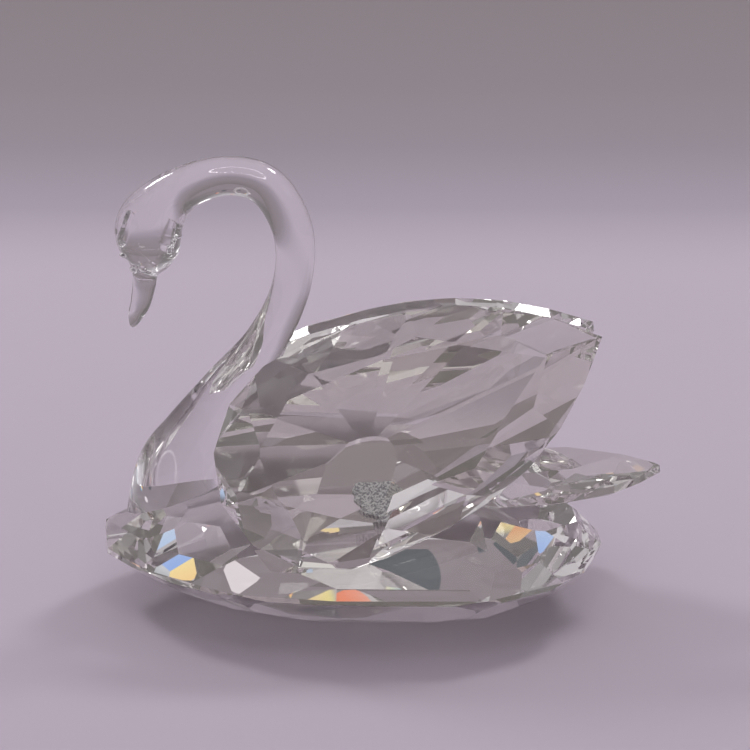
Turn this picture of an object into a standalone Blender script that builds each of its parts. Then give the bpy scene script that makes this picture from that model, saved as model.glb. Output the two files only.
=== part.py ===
"""Crystal swan figurine: a boat-shaped body stone, two pear-shaped wing stones, a smaller
pear-shaped tail stone, and a neck drawn from clear rod with the head pinched at its end.

The swan faces -X, its tail points to +X and its left side is -Y. The origin is on the ground,
under the middle of the whole figure. Every length is in metres and every slope in degrees:
0 is a flat facet and 90 an upright one.
"""

import math
from collections import namedtuple

import bmesh
import bpy
from mathutils import Matrix, Vector

# The whole figure
GLUE_GAP = 0.0003
OUTLINE_STEPS = 360
TOUCH = 1e-8
SPECK = 1.5e-5
BLOCK_SPARE = 0.1

# Body stone: plan outline, with its widest place at BODY_WIDEST_X
BODY_WIDEST_X = 0.0072
BODY_FRONT_LENGTH = 0.0479
BODY_REAR_LENGTH = 0.0226
BODY_WIDTH = 0.0430
BODY_FRONT_POWER = 3.4
PROW_GROUND_OFF = 0.0022
PROW_FACET_WIDTH = 0.0018
PROW_FACET_TURN = 12.0

# Body stone: heights, from the ground up
BELLY_DEPTH = 0.0088
BODY_GIRDLE_BAND = 0.0007
SHOULDER_INSET = 0.0021
SHOULDER_RISE = 0.0026
DECK_RISE = 0.0095

# Body stone: facets. Every side of the girdle has a shoulder, a deck and a belly facet, and every
# corner between two sides has a kite above the shoulder, a star inside that, and a belly and a
# keel facet below the girdle.
BODY_FACETS = 12
DECK_SLOPE = 37.0
KITE_SLOPE = 43.5
STAR_SLOPE = 28.0
STAR_RISE = 0.0068
STAR_INSET = 0.0072
BELLY_SLOPE = 36.0
BELLY_CORNER_SLOPE = 44.0
KEEL_SLOPE = 28.0
KEEL_RISE = 0.0033
KEEL_INSET = 0.0075

# Facets that the other pieces are glued to. Each rises inwards from the body's edge, where it lies
# this far above the girdle.
WING_SEAT_SLOPE = 36.0
WING_SEAT_RISE = 0.0005
NECK_SEAT_SLOPE = 20.0
NECK_SEAT_RISE = 0.0029
TAIL_SEAT_SLOPE = 17.0
TAIL_SEAT_RISE = 0.0025

# Wing stones: pear outline, in the plane of the stone
WING_LENGTH = 0.0538
WING_WIDTH = 0.0296
WING_ROUND_END = 0.0165
PEAR_POWER = 2.8

# Wing stones: thickness and facets
WING_GIRDLE_BAND = 0.0018
WING_FACE_RISE = 0.0034
WING_BACK_DEPTH = 0.0096
WING_CULET_TOWARD_TIP = 0.0035
WING_FACETS = 10
WING_FACE_SLOPE = 30.0
WING_STAR_SLOPE = 17.0
WING_STAR_INSET = 0.0052
WING_EDGE_SLOPE = 40.0

# Wing stones: how they stand. Each leans in from the body's widest edge. A stone's widest place lies
# forward of the body's, and its lowest place this far up the lean from the top of the girdle.
WING_LEAN = 28.6
LEFT_WING_FORWARD = 0.0125
LEFT_WING_FOOT_RISE = 0.0042
LEFT_WING_RAKE = 24.0
RIGHT_WING_FORWARD = 0.0123
RIGHT_WING_FOOT_RISE = 0.0032
RIGHT_WING_RAKE = 23.3

# Tail stone: outline, thickness and facets
TAIL_LENGTH = 0.0300
TAIL_WIDTH = 0.0186
TAIL_ROUND_END = 0.0095
TAIL_GIRDLE_BAND = 0.0010
TAIL_FACE_RISE = 0.0020
TAIL_BACK_DEPTH = 0.0042
TAIL_CULET_TOWARD_TIP = 0.0040
TAIL_FACETS = 8
TAIL_FACE_SLOPE = 28.0
TAIL_STAR_SLOPE = 20.0
TAIL_STAR_INSET = 0.0022
TAIL_EDGE_SLOPE = 42.0

# Tail stone: its widest place, inboard of the body's rear end and above the girdle
TAIL_INBOARD = 0.0119
TAIL_RISE = 0.0087
TAIL_RAKE = 4.0

# A stone's lower girdle facets lie this much flatter than the ones on its face
EDGE_EASE = 6.0
EDGES_PER_FACET = 2

# Neck: stations up the middle of the rod as (back from the prow, above the prow's top edge,
# half depth, half breadth)
NECK_STATIONS = (
    (0.0107, -0.0004, 0.0080, 0.0060),
    (0.0115, 0.0066, 0.0071, 0.0055),
    (0.0138, 0.0116, 0.0058, 0.0048),
    (0.0179, 0.0186, 0.0041, 0.0038),
    (0.0228, 0.0256, 0.0029, 0.0029),
    (0.0263, 0.0331, 0.0026, 0.0026),
    (0.0267, 0.0406, 0.0027, 0.0026),
    (0.0233, 0.0467, 0.0027, 0.0026),
    (0.0176, 0.0481, 0.0026, 0.0026),
    (0.0114, 0.0459, 0.0031, 0.0030),
)

# Head and beak: further stations of the same kind, down to the beak's tip
HEAD_STATIONS = (
    (0.0078, 0.0419, 0.0042, 0.0040),
    (0.0070, 0.0383, 0.0039, 0.0038),
    (0.0068, 0.0359, 0.0022, 0.0026),
    (0.0065, 0.0338, 0.0017, 0.0016),
    (0.0056, 0.0301, 0.0012, 0.0010),
    (0.0051, 0.0277, 0.0005, 0.0005),
)
NECK_RINGS = 64
NECK_SIDES = 24
NECK_SHARP_EDGE = 50.0

# Eye hollows, pinched into the head on both sides of the face. The face looks to the swan's left.
FACE_TURN = 86.0
EYE_SPREAD = 50.0
EYE_RISE = 0.0403
EYE_DEPTH = 0.0008
EYE_HALF_LENGTH = 0.0018
EYE_HALF_BREADTH = 17.0

CRYSTAL = (0.80, 0.79, 0.82, 1.0)
CRYSTAL_ROUGHNESS = 0.02
CRYSTAL_IOR = 1.55

# Worked out from the sizes above
GIRDLE_TOP = BELLY_DEPTH + BODY_GIRDLE_BAND
PROW_X = BODY_WIDEST_X - BODY_FRONT_LENGTH + PROW_GROUND_OFF
REAR_X = BODY_WIDEST_X + BODY_REAR_LENGTH
PROW_TOP = Vector((PROW_X, 0.0, GIRDLE_TOP + NECK_SEAT_RISE))

PearCut = namedtuple(
    "PearCut", "length width round_end band rise depth culet facets slope star_slope star_inset edge_slope"
)
WING_CUT = PearCut(
    WING_LENGTH, WING_WIDTH, WING_ROUND_END, WING_GIRDLE_BAND, WING_FACE_RISE, WING_BACK_DEPTH,
    WING_CULET_TOWARD_TIP, WING_FACETS, WING_FACE_SLOPE, WING_STAR_SLOPE, WING_STAR_INSET, WING_EDGE_SLOPE,
)
TAIL_CUT = PearCut(
    TAIL_LENGTH, TAIL_WIDTH, TAIL_ROUND_END, TAIL_GIRDLE_BAND, TAIL_FACE_RISE, TAIL_BACK_DEPTH,
    TAIL_CULET_TOWARD_TIP, TAIL_FACETS, TAIL_FACE_SLOPE, TAIL_STAR_SLOPE, TAIL_STAR_INSET, TAIL_EDGE_SLOPE,
)
WingPlace = namedtuple("WingPlace", "side forward foot_rise rake")
LEFT_WING = WingPlace(-1, LEFT_WING_FORWARD, LEFT_WING_FOOT_RISE, LEFT_WING_RAKE)
RIGHT_WING = WingPlace(1, RIGHT_WING_FORWARD, RIGHT_WING_FOOT_RISE, RIGHT_WING_RAKE)


def stone_outline(tip_length, round_length, width, power):
    """A closed outline, anticlockwise, with its tip at -X and its widest place at x = 0."""
    upper = []
    for step in range(OUTLINE_STEPS + 1):
        angle = math.radians(180.0 * step / OUTLINE_STEPS)
        along = math.cos(angle)
        if along < 0.0:
            upper.append(Vector((along * tip_length, (1.0 - (-along) ** power) * width / 2)))
        else:
            upper.append(Vector((along * round_length, math.sin(angle) * width / 2)))
    lower = [Vector((p.x, -p.y)) for p in reversed(upper[1:-1])]
    return upper + lower


def facet_spots(outline, count, shift):
    """Places facets evenly round an outline: (point, outward direction) for each of them."""
    lengths = [0.0]
    closed = outline + outline[:1]
    for here, there in zip(closed, closed[1:]):
        lengths.append(lengths[-1] + (there - here).length)
    spots = []
    for number in range(count):
        wanted = lengths[-1] * ((number + shift) / count % 1.0)
        index = next(i for i in range(len(outline)) if lengths[i + 1] >= wanted)
        along = (closed[index + 1] - closed[index - 1 if index else -2]).normalized()
        spots.append((closed[index], Vector((along.y, -along.x))))
    return spots


def grind(stone, point, outward):
    """Takes away all that lies beyond a plane, and closes the new facet."""
    everything = stone.verts[:] + stone.edges[:] + stone.faces[:]
    bmesh.ops.bisect_plane(
        stone, geom=everything, dist=TOUCH, plane_co=point, plane_no=outward, clear_outer=True
    )
    rim = [edge for edge in stone.edges if edge.is_boundary]
    if rim:
        bmesh.ops.edgeloop_fill(stone, edges=rim)


def grind_tier(stone, spots, level, slope, facing=1, inset=0.0):
    """Cuts one ring of facets. Each is tangent to the outline, moved in by the inset, at a level."""
    lean = math.radians(slope)
    for spot, outward in spots:
        normal = Vector((outward.x * math.sin(lean), outward.y * math.sin(lean), facing * math.cos(lean)))
        place = spot - outward * inset
        grind(stone, Vector((place.x, place.y, level)), normal)


def grind_to_culet(stone, spots, level, culet):
    """Cuts a ring of facets that run from the outline at a level to one point, the culet."""
    for spot, outward in spots:
        reach = (spot - culet.xy).dot(outward)
        drop = level - culet.z
        normal = Vector((outward.x * drop, outward.y * drop, -reach)).normalized()
        grind(stone, culet, normal)


def rough_block(outline, low, high):
    """The block that a stone is cut from, a little larger than the stone all round."""
    xs = [p.x for p in outline]
    ys = [p.y for p in outline]
    corners = Vector((min(xs), min(ys), low)), Vector((max(xs), max(ys), high))
    block = bmesh.new()
    bmesh.ops.create_cube(block, size=1.0 + BLOCK_SPARE)
    size = Matrix.Diagonal((corners[1] - corners[0]).to_4d())
    middle = Matrix.Translation((corners[0] + corners[1]) / 2)
    bmesh.ops.transform(block, matrix=middle @ size, verts=block.verts)
    return block


def finish_stone(stone, name, material):
    """Makes a named object of a stone that is cut and in its place."""
    bmesh.ops.remove_doubles(stone, verts=stone.verts, dist=SPECK)
    bmesh.ops.recalc_face_normals(stone, faces=stone.faces)
    mesh = bpy.data.meshes.new(name)
    stone.to_mesh(mesh)
    stone.free()
    mesh.materials.append(material)
    thing = bpy.data.objects.new(name, mesh)
    bpy.context.scene.collection.objects.link(thing)
    return thing


def crystal(name):
    """Clear lead crystal, polished."""
    material = bpy.data.materials.new(name)
    material.use_nodes = True
    surface = material.node_tree.nodes["Principled BSDF"]
    surface.inputs["Base Color"].default_value = CRYSTAL
    surface.inputs["Roughness"].default_value = CRYSTAL_ROUGHNESS
    surface.inputs["Metallic"].default_value = 0.0
    surface.inputs["IOR"].default_value = CRYSTAL_IOR
    surface.inputs["Transmission Weight"].default_value = 1.0
    return material


def seat_plane(edge_x, edge_y, rise, slope):
    """A facet of the body that carries another piece: (point at the body's edge, outward normal)."""
    point = Vector((edge_x, edge_y, GIRDLE_TOP + rise))
    outward = Vector((edge_x if edge_y == 0.0 else 0.0, edge_y, 0.0)).normalized()
    lean = math.radians(slope)
    return point, outward * math.sin(lean) + Vector((0.0, 0.0, math.cos(lean)))


def wing_seat(side):
    """The facet under one wing."""
    return seat_plane(BODY_WIDEST_X, side * BODY_WIDTH / 2, WING_SEAT_RISE, WING_SEAT_SLOPE)


def neck_seat():
    """The facet under the neck, from the prow's top edge."""
    return seat_plane(PROW_X, 0.0, NECK_SEAT_RISE, NECK_SEAT_SLOPE)


def tail_seat():
    """The facet under the tail, from the rear end."""
    return seat_plane(REAR_X, 0.0, TAIL_SEAT_RISE, TAIL_SEAT_SLOPE)


def make_body():
    """The boat-shaped stone: flat underside, sloping belly, steep shoulder, deck with seats."""
    outline = stone_outline(BODY_FRONT_LENGTH, BODY_REAR_LENGTH, BODY_WIDTH, BODY_FRONT_POWER)
    sides = facet_spots(outline, BODY_FACETS, 0.5)
    corners = facet_spots(outline, BODY_FACETS, 0.0)
    shoulder = GIRDLE_TOP + SHOULDER_RISE
    shoulder_slope = math.degrees(math.atan2(SHOULDER_RISE, SHOULDER_INSET))
    deck = GIRDLE_TOP + DECK_RISE
    stone = rough_block(outline, 0.0, deck)
    grind_tier(stone, sides, GIRDLE_TOP, 90.0)
    grind_tier(stone, sides, GIRDLE_TOP, shoulder_slope)
    grind_tier(stone, sides, shoulder, DECK_SLOPE, inset=SHOULDER_INSET)
    grind_tier(stone, corners, shoulder, KITE_SLOPE, inset=SHOULDER_INSET)
    grind_tier(stone, corners, GIRDLE_TOP + STAR_RISE, STAR_SLOPE, inset=STAR_INSET)
    grind_tier(stone, sides, BELLY_DEPTH, BELLY_SLOPE, facing=-1)
    grind_tier(stone, corners, BELLY_DEPTH, BELLY_CORNER_SLOPE, facing=-1)
    grind_tier(stone, corners, KEEL_RISE, KEEL_SLOPE, facing=-1, inset=KEEL_INSET)
    grind(stone, Vector((0.0, 0.0, 0.0)), Vector((0.0, 0.0, -1.0)))
    grind(stone, Vector((0.0, 0.0, deck)), Vector((0.0, 0.0, 1.0)))
    bmesh.ops.translate(stone, vec=Vector((BODY_WIDEST_X, 0.0, 0.0)), verts=stone.verts)
    for side in (-1, 0, 1):
        turn = math.radians(side * PROW_FACET_TURN)
        edge = Vector((PROW_X, side * PROW_FACET_WIDTH / 2, 0.0))
        grind(stone, edge, Vector((-math.cos(turn), math.sin(turn), 0.0)))
    for point, normal in (wing_seat(-1), wing_seat(1), neck_seat(), tail_seat()):
        grind(stone, point, normal)
    return finish_stone(stone, "body", crystal("body_crystal"))


def pear_stone(cut):
    """A pear-shaped stone, widest at the origin and tip towards -X, with its face towards +Z."""
    outline = stone_outline(cut.length - cut.round_end, cut.round_end, cut.width, PEAR_POWER)
    mains = facet_spots(outline, cut.facets, 0.5)
    stars = facet_spots(outline, cut.facets, 0.0)
    edges = facet_spots(outline, EDGES_PER_FACET * cut.facets, 0.5)
    face_edge = cut.band / 2
    back_edge = -cut.band / 2
    star_level = face_edge + cut.star_inset * math.tan(math.radians(cut.slope))
    culet = Vector((-cut.culet, 0.0, back_edge - cut.depth))
    stone = rough_block(outline, culet.z, face_edge + cut.rise)
    grind_tier(stone, edges, 0.0, 90.0)
    grind_tier(stone, edges, face_edge, cut.edge_slope)
    grind_tier(stone, mains, face_edge, cut.slope)
    grind_tier(stone, stars, star_level, cut.star_slope, inset=cut.star_inset)
    grind(stone, Vector((0.0, 0.0, face_edge + cut.rise)), Vector((0.0, 0.0, 1.0)))
    grind_tier(stone, edges, back_edge, cut.edge_slope - EDGE_EASE, facing=-1)
    grind_to_culet(stone, mains, back_edge, culet)
    return stone


def make_wing(name, place):
    """One wing: a pear stone, tip up and back, leaning in towards the other wing."""
    stone = pear_stone(WING_CUT)
    lean = math.radians(WING_LEAN)
    turn = math.radians(place.rake)
    below = math.hypot(WING_ROUND_END * math.sin(turn), WING_WIDTH / 2 * math.cos(turn))
    up = place.foot_rise + below
    from_middle = BODY_WIDTH / 2 - up * math.sin(lean)
    widest = Vector((BODY_WIDEST_X - place.forward, -from_middle, GIRDLE_TOP + up * math.cos(lean)))
    rake = Matrix.Rotation(math.pi + turn, 4, "Z")
    stand = Matrix.Rotation(math.pi / 2 - lean, 4, "X")
    mirror = Matrix.Diagonal(Vector((1.0, -place.side, 1.0, 1.0)))
    bmesh.ops.transform(stone, matrix=mirror @ Matrix.Translation(widest) @ stand @ rake, verts=stone.verts)
    point, normal = wing_seat(place.side)
    grind(stone, point + normal * GLUE_GAP, -normal)
    return finish_stone(stone, name, crystal(name + "_crystal"))


def make_tail():
    """The tail: a small pear stone lying almost flat on the rear seat of the body."""
    stone = pear_stone(TAIL_CUT)
    turn = Matrix.Rotation(math.pi, 4, "Z")
    rake = Matrix.Rotation(math.radians(-TAIL_RAKE), 4, "Y")
    widest = Matrix.Translation(Vector((REAR_X - TAIL_INBOARD, 0.0, GIRDLE_TOP + TAIL_RISE)))
    bmesh.ops.transform(stone, matrix=widest @ rake @ turn, verts=stone.verts)
    point, normal = tail_seat()
    grind(stone, point + normal * GLUE_GAP, -normal)
    return finish_stone(stone, "tail", crystal("tail_crystal"))


def smooth_path(stations, count):
    """Reads evenly numbered places from a smooth curve through the stations."""
    ends = [2 * Vector(stations[0]) - Vector(stations[1])]
    ends += [Vector(s) for s in stations]
    ends += [2 * Vector(stations[-1]) - Vector(stations[-2])]
    last = len(stations) - 1
    places = []
    for number in range(count + 1):
        where = last * number / count
        first = min(int(where), last - 1)
        t = where - first
        a, b, c, d = ends[first : first + 4]
        bend = (2 * a - 5 * b + 4 * c - d) * t**2 + (3 * b - a - 3 * c + d) * t**3
        places.append(0.5 * (2 * b + (c - a) * t + bend))
    return places


def eye_dent(angle, height):
    """How deep the pinched eye hollows are at a place round the head, and above the prow's top edge."""
    dent = 0.0
    for side in (-1, 1):
        off = (angle - FACE_TURN - side * EYE_SPREAD + 180.0) % 360.0 - 180.0
        dent += math.exp(-((off / EYE_HALF_BREADTH) ** 2))
    return EYE_DEPTH * dent * math.exp(-(((height - EYE_RISE) / EYE_HALF_LENGTH) ** 2))


def neck_ring(place, along, has_eyes):
    """The points of one section of the rod, anticlockwise from the side that faces +X at the head."""
    back, rise, half_depth, half_breadth = place
    across = Vector((-along.z, 0.0, along.x))
    ring = []
    for side in range(NECK_SIDES):
        angle = 360.0 * side / NECK_SIDES
        dent = eye_dent(angle, rise) if has_eyes else 0.0
        depth = (half_depth - dent) * math.cos(math.radians(angle))
        breadth = (half_breadth - dent) * math.sin(math.radians(angle))
        ring.append(PROW_TOP + Vector((back, -breadth, rise)) + across * depth)
    return ring


def make_neck_and_head():
    """The drawn rod: a wide slanting foot, a curved neck, the pinched head and the beak."""
    path = smooth_path(NECK_STATIONS + HEAD_STATIONS, NECK_RINGS)
    head_start = NECK_RINGS * len(NECK_STATIONS) / (len(NECK_STATIONS) + len(HEAD_STATIONS))
    rod = bmesh.new()
    rings = []
    for number, place in enumerate(path):
        before = path[max(number - 1, 0)]
        after = path[min(number + 1, NECK_RINGS)]
        along = Vector((after[0] - before[0], 0.0, after[1] - before[1])).normalized()
        ring = neck_ring(place, along, number > head_start)
        rings.append([rod.verts.new(spot) for spot in ring])
    for low, high in zip(rings, rings[1:]):
        for side in range(NECK_SIDES):
            after = (side + 1) % NECK_SIDES
            rod.faces.new((low[side], low[after], high[after], high[side]))
    rod.faces.new(rings[0])
    rod.faces.new(rings[-1])
    bmesh.ops.recalc_face_normals(rod, faces=rod.faces)
    point, normal = neck_seat()
    grind(rod, point + normal * GLUE_GAP, -normal)
    thing = finish_stone(rod, "neck_and_head", crystal("neck_crystal"))
    thing.data.shade_smooth()
    thing.data.set_sharp_from_angle(angle=math.radians(NECK_SHARP_EDGE))
    return thing


def main():
    """Builds the swan in an empty scene."""
    for old in list(bpy.data.objects):
        bpy.data.objects.remove(old)
    make_body()
    make_wing("wing_left", LEFT_WING)
    make_wing("wing_right", RIGHT_WING)
    make_tail()
    make_neck_and_head()


main()
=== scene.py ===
# %% [markdown]
# # A swan of cut and drawn crystal
#
# This lesson dresses a small crystal swan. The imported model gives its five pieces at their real
# size: a boat-shaped body stone, two pear-shaped wing stones, a smaller tail stone, and a neck
# drawn from clear rod. Nearly all of its look comes from what the glass bends and mirrors, so the
# lesson spends as much care on the lights and the surroundings as on the glass itself.

import math

import bmesh
import bpy
from mathutils import Matrix, Vector


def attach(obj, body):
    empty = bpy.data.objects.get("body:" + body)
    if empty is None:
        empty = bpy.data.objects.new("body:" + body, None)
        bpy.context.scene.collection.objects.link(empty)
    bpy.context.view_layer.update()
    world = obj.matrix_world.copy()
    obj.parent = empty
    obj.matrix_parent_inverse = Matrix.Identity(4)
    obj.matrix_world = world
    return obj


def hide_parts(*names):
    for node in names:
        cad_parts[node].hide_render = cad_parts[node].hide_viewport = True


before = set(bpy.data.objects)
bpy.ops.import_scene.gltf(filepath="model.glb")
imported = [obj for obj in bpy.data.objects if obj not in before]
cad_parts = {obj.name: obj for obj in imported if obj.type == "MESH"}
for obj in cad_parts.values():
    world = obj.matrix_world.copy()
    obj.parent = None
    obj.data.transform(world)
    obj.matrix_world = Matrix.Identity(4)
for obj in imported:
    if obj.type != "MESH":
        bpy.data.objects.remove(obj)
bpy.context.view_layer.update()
MM = 0.001
print("pieces in the packed model:", sorted(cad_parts))

# %% [markdown]
# ## The camera
#
# The swan was looked at from its left side, from a hand's breadth away and from a little above.
# A real camera so near a small thing shows strong perspective, which a long lens from far away
# could not give. So the camera gets its true distance, and the lens follows from the picture.

# %% Place the camera
CAMERA_DISTANCE = 225 * MM
CAMERA_ELEVATION = 17.0
CAMERA_LENS = 79.4
LOOKED_AT = Vector((-0.95, 0.0, 33.2)) * MM

tilt = math.radians(CAMERA_ELEVATION)
camera = bpy.data.objects.new("camera", bpy.data.cameras.new("camera"))
camera.data.lens = CAMERA_LENS
camera.data.sensor_width = 36.0
camera.data.clip_start = 1 * MM
camera.location = LOOKED_AT + CAMERA_DISTANCE * Vector((0.0, -math.cos(tilt), math.sin(tilt)))
camera.rotation_euler = (math.radians(90.0) - tilt, 0.0, 0.0)
bpy.context.scene.collection.objects.link(camera)
bpy.context.scene.camera = camera
print("camera at, mm:", [round(c / MM, 1) for c in camera.location])

# %% [markdown]
# ## Colours and nodes
#
# Colours are written as the hex values that a picture editor shows. Blender's shaders want linear
# light, so one function turns the one into the other. A second small function adds a shader node,
# sets its values and joins its inputs. A third makes a colour ramp from places and hex codes.
# Everything below is built with these three.

# %% Three helpers


def colour(code):
    """The linear RGBA of an sRGB hex code such as '#b5a9b4'."""
    channels = [int(code[i : i + 2], 16) / 255 for i in (1, 3, 5)]
    return tuple(c / 12.92 if c <= 0.04045 else ((c + 0.055) / 1.055) ** 2.4 for c in channels) + (1.0,)


def add(tree, kind, settings=(), links=()):
    """Adds a node. Settings name its properties or inputs, and links give inputs their sources."""
    node = tree.nodes.new(kind)
    for name, value in dict(settings).items():
        if isinstance(name, int) or name in node.inputs:
            node.inputs[name].default_value = value
        else:
            setattr(node, name, value)
    for name, source in dict(links).items():
        tree.links.new(source, node.inputs[name])
    return node


def ramp(tree, factor, stops):
    """The colour of a ramp through (place, hex code) stops in rising order."""
    node = add(tree, "ShaderNodeValToRGB", links={0: factor})
    elements = node.color_ramp.elements
    for number, (place, code) in enumerate(stops):
        element = elements[number] if number < 2 else elements.new(1.0)
        element.position = place
        element.color = colour(code)
    return node.outputs["Color"]


print("a pale lavender in linear light:", [round(c, 3) for c in colour("#b9adbb")])

# %% [markdown]
# ## Lead crystal
#
# The stones are full lead crystal: glass with about a third of lead oxide, which makes it heavy and
# bends light more than window glass does. The facets are ground flat on a wheel and then polished,
# so they have no roughness that shows. Two things make it look alive. Light that meets a facet
# from inside at a low angle is mirrored completely, and the facets throw parts of the room in all
# directions. Both follow from the index alone, about 1.55, so plain values on the shader will do.
# The cut stones are thick, so a trace of warm grey shows in them. The thin rod shows hardly any.

# %% Crystal for the stones and the neck
CRYSTAL_INDEX = 1.55
STONE_TINT = "#f7f6f2"
ROD_TINT = "#fcfbfb"


def lead_crystal(name, tint):
    """Polished clear lead crystal."""
    material = bpy.data.materials.new(name)
    material.use_nodes = True
    surface = material.node_tree.nodes["Principled BSDF"]
    surface.inputs["Base Color"].default_value = colour(tint)
    surface.inputs["Roughness"].default_value = 0.0
    surface.inputs["IOR"].default_value = CRYSTAL_INDEX
    surface.inputs["Transmission Weight"].default_value = 1.0
    return material


stone_crystal = lead_crystal("polished lead crystal, cut", STONE_TINT)
rod_crystal = lead_crystal("fire-polished lead crystal, drawn", ROD_TINT)
for name in ("body", "wing_left", "wing_right", "tail"):
    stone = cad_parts[name]
    stone.data.materials.clear()
    stone.data.materials.append(stone_crystal)
    print(name, "has", len(stone.data.polygons), "faces of polished crystal")

# %% [markdown]
# ## The neck and head
#
# The neck is not cut. A glass worker draws it from a hot rod, bends it, pinches the head with
# pliers on both sides to make the eye hollows, and pulls the beak out to a point. Its surface is
# the fire's own polish, and it shows long soft bands of light. A lofted tube is the natural way to
# make it: sections along a smooth path, each an oval that grows towards the foot.

# %% Sections along the neck
NECK_FOOT_Z = 12.4
PROW_X = -38.5
# Each station, in mm: back from the prow, rise above the foot, half depth, half breadth
NECK_STATIONS = (
    (10.7, -0.4, 8.0, 6.0),
    (11.5, 6.6, 7.1, 5.5),
    (13.8, 11.6, 5.8, 4.8),
    (17.9, 18.6, 4.1, 3.8),
    (22.8, 25.6, 2.9, 2.9),
    (26.3, 33.1, 2.6, 2.6),
    (26.7, 40.6, 2.7, 2.6),
    (23.3, 46.7, 2.7, 2.6),
    (17.6, 48.1, 2.6, 2.6),
    (11.4, 45.9, 3.1, 3.0),
)
HEAD_STATIONS = (
    (7.9, 41.9, 4.4, 4.0),
    (7.5, 38.6, 4.1, 3.8),
    (7.3, 36.9, 3.2, 3.1),
    (6.9, 35.2, 1.8, 1.9),
    (6.65, 33.4, 1.55, 1.5),
    (6.1, 31.0, 1.35, 1.2),
    (5.4, 29.3, 1.05, 0.9),
    (4.95, 27.9, 0.5, 0.45),
    (4.85, 27.55, 0.08, 0.08),
)
NECK_RINGS = 432
NECK_SIDES = 144
NECK_SEAT_SLOPE = 20.0
GLUE_GAP = 0.3


def smooth_path(stations, count):
    """Evenly numbered places on a smooth curve through the stations."""
    ends = [2 * Vector(stations[0]) - Vector(stations[1])]
    ends += [Vector(s) for s in stations]
    ends += [2 * Vector(stations[-1]) - Vector(stations[-2])]
    last = len(stations) - 1
    places = []
    for number in range(count + 1):
        where = last * number / count
        first = min(int(where), last - 1)
        t = where - first
        a, b, c, d = ends[first : first + 4]
        bend = (2 * a - 5 * b + 4 * c - d) * t**2 + (3 * b - a - 3 * c + d) * t**3
        places.append(0.5 * (2 * b + (c - a) * t + bend))
    return places


neck_path = smooth_path(NECK_STATIONS + HEAD_STATIONS, NECK_RINGS)
length = sum((Vector(b[:2]) - Vector(a[:2])).length for a, b in zip(neck_path, neck_path[1:]))
print("length of the drawn rod along its middle, mm:", round(length, 1))

# %% [markdown]
# The pliers leave a flute on each cheek, with sharp rims, where the eyes sit. The face is turned
# towards the swan's left, so both flutes show from that side. The glass that was pushed aside
# stands in small pearls round the root of the beak, and the beak has a ridge down its front. Each
# flute and pearl is laid out as it is seen from the left, by the distance from its middle.

# %% Pinch the head
FACE_TURN = 86.0
# Each flute, in mm: x and z of its upper end and of its lower end, half width, depth
FLUTES = (
    ((-32.9, 55.9), (-34.2, 52.2), 0.6, 0.8),
    ((-26.6, 55.9), (-28.2, 52.0), 0.95, 0.95),
)
# x and z of each pearl, in mm
PEARLS = ((-34.2, 50.1), (-33.0, 48.2), (-30.2, 49.2), (-27.9, 50.7), (-31.6, 48.6))
PEARL_RADIUS = 0.5
PEARL_HEIGHT = 0.45
# The ridge stands out by this share of the beak's radius, a little to the front of the face's middle
RIDGE_BELOW = 34.6
RIDGE_HEIGHT = 0.3
RIDGE_TURN = FACE_TURN + 10.0
RIDGE_HALF_ANGLE = 50.0
SHARP_RIM = 40.0
HEAD_FROM = NECK_RINGS * len(NECK_STATIONS) / (len(NECK_STATIONS) + len(HEAD_STATIONS))


def distance_to_line(point, start, end):
    """Distance in the side view from a point to the line between two others."""
    run = Vector(end) - Vector(start)
    share = min(max((point - Vector(start)).dot(run) / run.length_squared, 0.0), 1.0)
    return (point - Vector(start) - share * run).length


def tool_mark(point):
    """How far the pliers moved a place on the near side of the head, in mm, outward positive."""
    seen = Vector((point.x, point.z))
    push = 0.0
    for start, end, half_width, depth in FLUTES:
        off = distance_to_line(seen, start, end) / half_width
        push -= depth * max(1.0 - off**2, 0.0)
    for pearl in PEARLS:
        off = (seen - Vector(pearl)).length / PEARL_RADIUS
        push += PEARL_HEIGHT * max(1.0 - off**2, 0.0)
    return push


def neck_ring(number):
    """The points of one section, in mm."""
    back, rise, half_depth, half_breadth = neck_path[number]
    before = neck_path[max(number - 1, 0)]
    after = neck_path[min(number + 1, NECK_RINGS)]
    along = Vector((after[0] - before[0], 0.0, after[1] - before[1])).normalized()
    across = Vector((-along.z, 0.0, along.x))
    middle = Vector((PROW_X + back, 0.0, NECK_FOOT_Z + rise))
    ring = []
    for side in range(NECK_SIDES):
        angle = 360.0 * side / NECK_SIDES
        ridge = 0.0
        if rise < RIDGE_BELOW and number > HEAD_FROM:
            ridge = RIDGE_HEIGHT * max(1.0 - abs(angle - RIDGE_TURN) / RIDGE_HALF_ANGLE, 0.0)
        depth = half_depth * (1.0 + ridge) * math.cos(math.radians(angle))
        breadth = half_breadth * (1.0 + ridge) * math.sin(math.radians(angle))
        out = across * depth - Vector((0.0, breadth, 0.0))
        if out.y < 0.0 and number > HEAD_FROM:
            out += out.normalized() * tool_mark(middle + out)
        ring.append(middle + out)
    return ring


def loft(rings):
    """A closed tube through rings of points in mm, as a bmesh in metres."""
    tube = bmesh.new()
    rows = [[tube.verts.new(point * MM) for point in ring] for ring in rings]
    for low, high in zip(rows, rows[1:]):
        for side in range(len(low)):
            after = (side + 1) % len(low)
            tube.faces.new((low[side], low[after], high[after], high[side]))
    tube.faces.new(rows[0])
    tube.faces.new(rows[-1])
    bmesh.ops.recalc_face_normals(tube, faces=tube.faces)
    return tube


def make_piece(name, shape, material):
    """Turns a bmesh into a named piece that rides on the swan."""
    mesh = bpy.data.meshes.new(name)
    shape.to_mesh(mesh)
    shape.free()
    mesh.materials.append(material)
    piece = bpy.data.objects.new(name, mesh)
    bpy.context.scene.collection.objects.link(piece)
    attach(piece, "root")
    return piece


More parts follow.
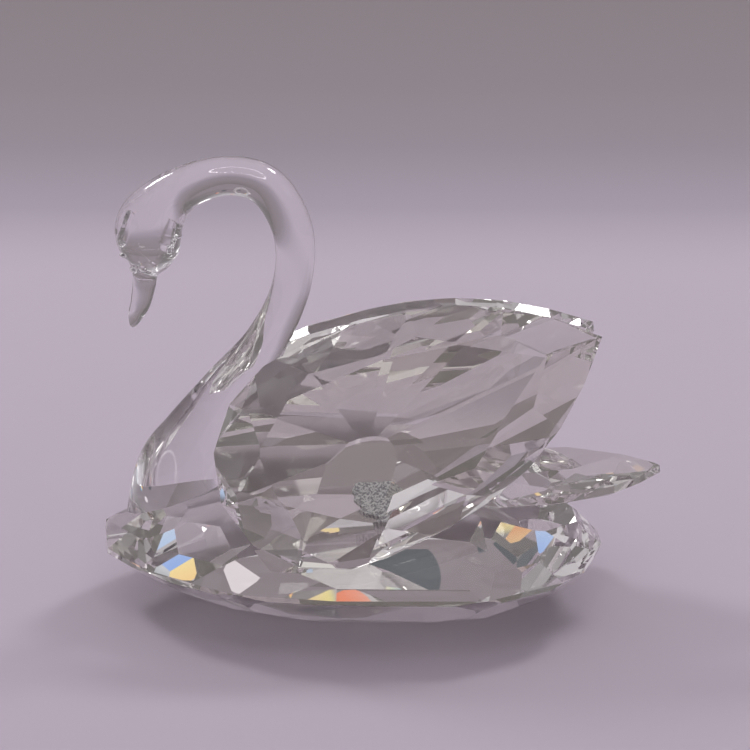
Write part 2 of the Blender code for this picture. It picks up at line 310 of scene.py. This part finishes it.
tube = loft([neck_ring(number) for number in range(NECK_RINGS + 1)])
seat_lean = math.radians(NECK_SEAT_SLOPE)
seat_normal = Vector((-math.sin(seat_lean), 0.0, math.cos(seat_lean)))
seat_point = Vector((PROW_X, 0.0, NECK_FOOT_Z)) * MM + seat_normal * GLUE_GAP * MM
bmesh.ops.bisect_plane(
    tube, geom=tube.verts[:] + tube.edges[:] + tube.faces[:], dist=1e-8,
    plane_co=seat_point, plane_no=-seat_normal, clear_outer=True,
)
bmesh.ops.edgeloop_fill(tube, edges=[edge for edge in tube.edges if edge.is_boundary])
bmesh.ops.recalc_face_normals(tube, faces=tube.faces)
neck = make_piece("drawn_neck_and_head", tube, rod_crystal)
neck.data.shade_smooth()
neck.data.set_sharp_from_angle(angle=math.radians(SHARP_RIM))
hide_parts("neck_and_head")
print("neck and head:", len(neck.data.polygons), "faces")

# %% [markdown]
# ## The bond under the wing
#
# Each wing stands on a ground place on the body, and a drop of clear glue joins them. Where the
# glue took hold unevenly, the ground glass still scatters light, and on the near wing that place
# shows through the big facet as a speckled silver patch. The glue fills the gap between the two
# faces. Its outline wanders like any squeezed drop, so a few waves are laid on an oval.

# %% Squeeze the drop of glue
SEAT_POINT = Vector((0.0, -21.5, 10.0))
SEAT_SLOPE = 36.0
BOND_ALONG = -0.3
BOND_UP = 14.9
BOND_HALF_LENGTH = 3.7
BOND_HALF_HEIGHT = 2.2
BOND_CORNERS = 72
# Each wave of the outline: how many round the drop, its share of the reach, where it starts
BOND_WAVES = ((3, 0.08, 0.4), (5, 0.06, 2.0), (11, 0.03, 1.1))
BOND_GRAIN = 0.3
BOND_SPECKLE = ((0.43, "#a3a1a7"), (0.55, "#ffffff"))

slope = math.radians(SEAT_SLOPE)
up_slope = Vector((0.0, math.cos(slope), math.sin(slope)))
off_seat = Vector((0.0, -math.sin(slope), math.cos(slope)))
rings = []
for lift in (0.0, GLUE_GAP):
    ring = []
    for corner in range(BOND_CORNERS):
        angle = math.tau * corner / BOND_CORNERS
        waves = [size * math.sin(count * angle + start) for count, size, start in BOND_WAVES]
        reach = 1.0 + sum(waves)
        along = BOND_ALONG + BOND_HALF_LENGTH * reach * math.cos(angle)
        height = BOND_UP + BOND_HALF_HEIGHT * reach * math.sin(angle)
        ring.append(SEAT_POINT + Vector((along, 0.0, 0.0)) + up_slope * height + off_seat * lift)
    rings.append(ring)

bond_glass = bpy.data.materials.new("ground glass under clear glue")
bond_glass.use_nodes = True
tree = bond_glass.node_tree
surface = tree.nodes["Principled BSDF"]
surface.inputs["Roughness"].default_value = 0.5
place = add(tree, "ShaderNodeNewGeometry").outputs["Position"]
grain_sizes = {"Scale": 1 / (BOND_GRAIN * MM), "Detail": 3.0, "Roughness": 0.7}
grain = add(tree, "ShaderNodeTexNoise", grain_sizes, {"Vector": place}).outputs[0]
tree.links.new(ramp(tree, grain, BOND_SPECKLE), surface.inputs["Base Color"])
bond = make_piece("glue_under_left_wing", loft(rings), bond_glass)
print("drop of glue, mm:", [round(size / MM, 1) for size in bond.dimensions])

# %% [markdown]
# ## The stage
#
# The floor is a sheet of matt lavender-grey board that curves up behind the swan. Seen through
# crystal it is the pale part of the room, so its colour ends up in most of the facets. A curved
# sheet has no edge that would show as a line in the glass. The board is pale where the swan stands,
# and painted shade darkens it up the wall in place of the light falling off there: the facets that
# look level then get the dusky tone, and the ones that look down get the pale one.

# %% Bend the backdrop
# All in mm, with y measured back from the swan
BOARD_HALF_WIDTH = 1400
BOARD_FRONT = -1500
CURVE_START = 190
CURVE_RADIUS = 330
WALL_TOP = 120
CURVE_STEPS = 48
FLOOR_DROP = 0.05

profile = [(BOARD_FRONT, 0.0)]
steepest = math.acos(1 - WALL_TOP / CURVE_RADIUS)
for step in range(CURVE_STEPS + 1):
    turn = steepest * step / CURVE_STEPS
    along = CURVE_START + CURVE_RADIUS * math.sin(turn)
    profile.append((along, CURVE_RADIUS * (1 - math.cos(turn))))
board = bmesh.new()
edges = []
for x in (-BOARD_HALF_WIDTH, BOARD_HALF_WIDTH):
    edges.append([board.verts.new(Vector((x, y, z - FLOOR_DROP)) * MM) for y, z in profile])
for index in range(len(profile) - 1):
    board.faces.new((edges[0][index], edges[1][index], edges[1][index + 1], edges[0][index + 1]))
mesh = bpy.data.meshes.new("backdrop")
board.to_mesh(mesh)
board.free()
mesh.shade_smooth()
backdrop = bpy.data.objects.new("backdrop", mesh)
bpy.context.scene.collection.objects.link(backdrop)

# Heights up the board in mm, and its colour there, darkened upwards by painted shade
BOARD_COLOUR_AND_PAINTED_SHADE = ((0, "#bfb3c1"), (6, "#a89eab"), (17, "#968e98"), (32, "#90878d"), (120, "#7f7879"))

paper = bpy.data.materials.new("matt board with painted shade up the wall")
paper.use_nodes = True
tree = paper.node_tree
surface = tree.nodes["Principled BSDF"]
surface.inputs["Roughness"].default_value = 0.85
place = add(tree, "ShaderNodeNewGeometry").outputs["Position"]
height = add(tree, "ShaderNodeSeparateXYZ", links={0: place}).outputs["Z"]
share = add(tree, "ShaderNodeMapRange", {"From Max": WALL_TOP * MM}, {"Value": height})
# Painted shade: the board's colour darkens with height, standing in for less light up the wall
board_with_painted_shade = ramp(tree, share.outputs["Result"], [(up / WALL_TOP, code) for up, code in BOARD_COLOUR_AND_PAINTED_SHADE])
tree.links.new(board_with_painted_shade, surface.inputs["Base Color"])
mesh.materials.append(paper)
print("backdrop:", len(mesh.polygons), "faces")

# %% [markdown]
# ## The room
#
# Everything that the board does not cover is the room: dim at the sides, lighter overhead. It is
# drawn in the world shader, where a direction is looked up without any noise. Round spots are then
# mixed in for the panel on the ceiling, the window and the grey wall that goes on above the board.

# %% Paint the room
# Share of the way up the dome, and the room's colour there
ROOM_COLOURS = ((0.05, "#6f6b6a"), (0.45, "#787476"), (0.95, "#d8d3da"))
ROOM_STRENGTH = 1.0

world = bpy.data.worlds.new("room")
bpy.context.scene.world = world
world.use_nodes = True
room = world.node_tree
room.nodes.clear()
way = add(room, "ShaderNodeTexCoord").outputs["Generated"]
height = add(room, "ShaderNodeSeparateXYZ", links={0: way}).outputs["Z"]
light = ramp(room, height, ROOM_COLOURS)


def aim(azimuth, elevation):
    """The unit vector of a direction: azimuth 0 is behind the camera, 90 beyond the tail."""
    a, e = math.radians(azimuth), math.radians(elevation)
    return Vector((math.sin(a) * math.cos(e), -math.cos(a) * math.cos(e), math.sin(e)))


def share_of(value, low, high, kind="LINEAR"):
    """Maps a value from low..high to 0..1."""
    sizes = {"interpolation_type": kind, "From Min": low, "From Max": high}
    return add(room, "ShaderNodeMapRange", sizes, {"Value": value}).outputs["Result"]


def part_along(direction):
    """How much of the way looked at points along a direction: the cosine between the two."""
    sizes = {"operation": "DOT_PRODUCT", 1: direction}
    return add(room, "ShaderNodeVectorMath", sizes, {0: way}).outputs["Value"]


def spot(name, azimuth, elevation, radius, codes, roll=0.0, edge=0.08):
    """Paints a round spot on the room. One colour fills it, and more make bands across it."""
    global light
    centre = aim(azimuth, elevation)
    ahead = part_along(centre)
    rim = [math.cos(math.radians(radius * (1 + e))) for e in (edge, -edge)]
    mix = add(room, "ShaderNodeMix", {"data_type": "RGBA", 7: colour(codes[0])}, {6: light})
    room.links.new(share_of(ahead, *rim, "SMOOTHSTEP"), mix.inputs[0])
    if len(codes) > 1:
        level = centre.cross(Vector((0.0, 0.0, 1.0))).normalized()
        across = Matrix.Rotation(math.radians(roll), 3, centre) @ level
        reach = math.sin(math.radians(radius))
        stops = [(number / (len(codes) - 1), code) for number, code in enumerate(codes)]
        bands = ramp(room, share_of(part_along(across), -reach, reach), stops)
        room.links.new(bands, mix.inputs[7])
    light = mix.outputs[2]
    print(f"{name}: azimuth {azimuth}, elevation {elevation}, radius {radius}")


spot("ceiling panel", 150, 66, 10, ("#dcd8d6",))
spot("side window", 80, 30, 7, ("#d4d7df",))
spot("wall above the board", 180, 14, 24, ("#8d838a",), edge=0.4)

# %% [markdown]
# A ring lamp hangs over the camera's shoulder. It is what draws the thin bright loop on the bend
# of the neck, and its narrow band of light breaks up into the small sparkles along the edges.

# %% Hang the ring lamp
RING_AZIMUTH = 8.0
RING_ELEVATION = 46.0
RING_RADIUS = 17.5
RING_HALF_WIDTH = 0.8
RING_EDGE = 0.2
RING_STRENGTH = 11.0

ahead = part_along(aim(RING_AZIMUTH, RING_ELEVATION))
angle = add(room, "ShaderNodeMath", {"operation": "ARCCOSINE"}, {0: ahead}).outputs[0]
ring_angle = {"operation": "SUBTRACT", 1: math.radians(RING_RADIUS)}
off = add(room, "ShaderNodeMath", ring_angle, {0: angle}).outputs[0]
off = add(room, "ShaderNodeMath", {"operation": "ABSOLUTE"}, {0: off}).outputs[0]
rim = [math.radians(RING_HALF_WIDTH * (1 + e)) for e in (RING_EDGE, -RING_EDGE)]
glow = (RING_STRENGTH, RING_STRENGTH, RING_STRENGTH, 1.0)
band = {0: share_of(off, *rim, "SMOOTHSTEP"), 6: light}
light = add(room, "ShaderNodeMix", {"data_type": "RGBA", 7: glow}, band).outputs[2]
print("ring lamp: width of the ring, degrees:", 2 * RING_RADIUS)

# %% [markdown]
# Cut crystal is bought for its fire. Lead glass bends blue light more than red, so a narrow bright
# source comes out of some facets as a strip of rainbow. A renderer that bends all colours alike
# can't split it, so small rainbow spots hang in the room where those facets look. A few dark
# screens give the facets beside them their slate tone, and a pale card brightens one more.

# %% Hang the rainbow spots and the dark screens
FIRE = ("#ff7020", "#ff9c7c", "#f6ccc4", "#fff2a0")
RAINBOW = ("#fff4b4", "#ffb884", "#fbe6e4", "#cadaf4", "#8fb0f4")
VIVID = ("#ffe24a", "#ff8a28", "#e8f2c8", "#58c8ee", "#3f6cf0")
SLATE = ("#5c6066",)
PALE = ("#e6dde4",)

spot("fire for the belly", -175, 52, 2.4, FIRE)
spot("fire for the rear deck", -59, 29, 4.2, RAINBOW, roll=90)
spot("fire for the prow", 65, 28, 4.8, RAINBOW, roll=90)
spot("fire under the tail", 169, 30, 1.4, VIVID)
spot("fire beside the bond", -160, 31, 1.5, FIRE)
spot("pale card for the front deck", 169, 23, 1.6, PALE)
spot("dark screen for the deck", 179, 24, 1.35, SLATE, edge=0.02)
spot("dark screen for the rear", -102, 34, 2.4, SLATE, edge=0.02)
spot("dark screen for the rear deck", -168, 27, 2.4, SLATE, edge=0.02)

background = add(room, "ShaderNodeBackground", {"Strength": ROOM_STRENGTH}, {"Color": light})
add(room, "ShaderNodeOutputWorld", links={"Surface": background.outputs[0]})

# %% [markdown]
# ## The two lamps
#
# Two round soft lamps hang a little behind the swan, one on either side. Each lights the shadow
# of the other, so the floor in front of the body stays pale and a soft shadow shows on each side.

# %% Hang the lamps
LAMP_SIZE = 150 * MM
LAMP_DISTANCE = 700 * MM
# Azimuth and elevation in degrees, and power in watts
LAMPS = {
    "left lamp": (-122, 47, 0.96),
    "right lamp": (122, 55, 1.02),
}

for name, (azimuth, elevation, watts) in LAMPS.items():
    lamp = bpy.data.objects.new(name, bpy.data.lights.new(name, "AREA"))
    lamp.data.shape = "DISK"
    lamp.data.size = LAMP_SIZE
    lamp.data.energy = watts
    lamp.location = aim(azimuth, elevation) * LAMP_DISTANCE
    lamp.rotation_euler = lamp.location.to_track_quat("Z", "Y").to_euler()
    bpy.context.scene.collection.objects.link(lamp)
    print(name, "at, mm:", [round(c / MM) for c in lamp.location])

# %% [markdown]
# ## How the picture is worked out
#
# A path of light through the swan crosses a dozen surfaces or more. If it is cut off early the
# facet goes black, so the limits are set high.

# %% Set the light paths
scene = bpy.context.scene
scene.cycles.max_bounces = 40
scene.cycles.transmission_bounces = 40
scene.cycles.glossy_bounces = 24
scene.cycles.diffuse_bounces = 3
scene.cycles.transparent_max_bounces = 16
scene.cycles.caustics_reflective = True
scene.cycles.caustics_refractive = True
scene.cycles.sample_clamp_indirect = 3.0
scene.cycles.use_denoising = True
scene.view_settings.view_transform = "Standard"
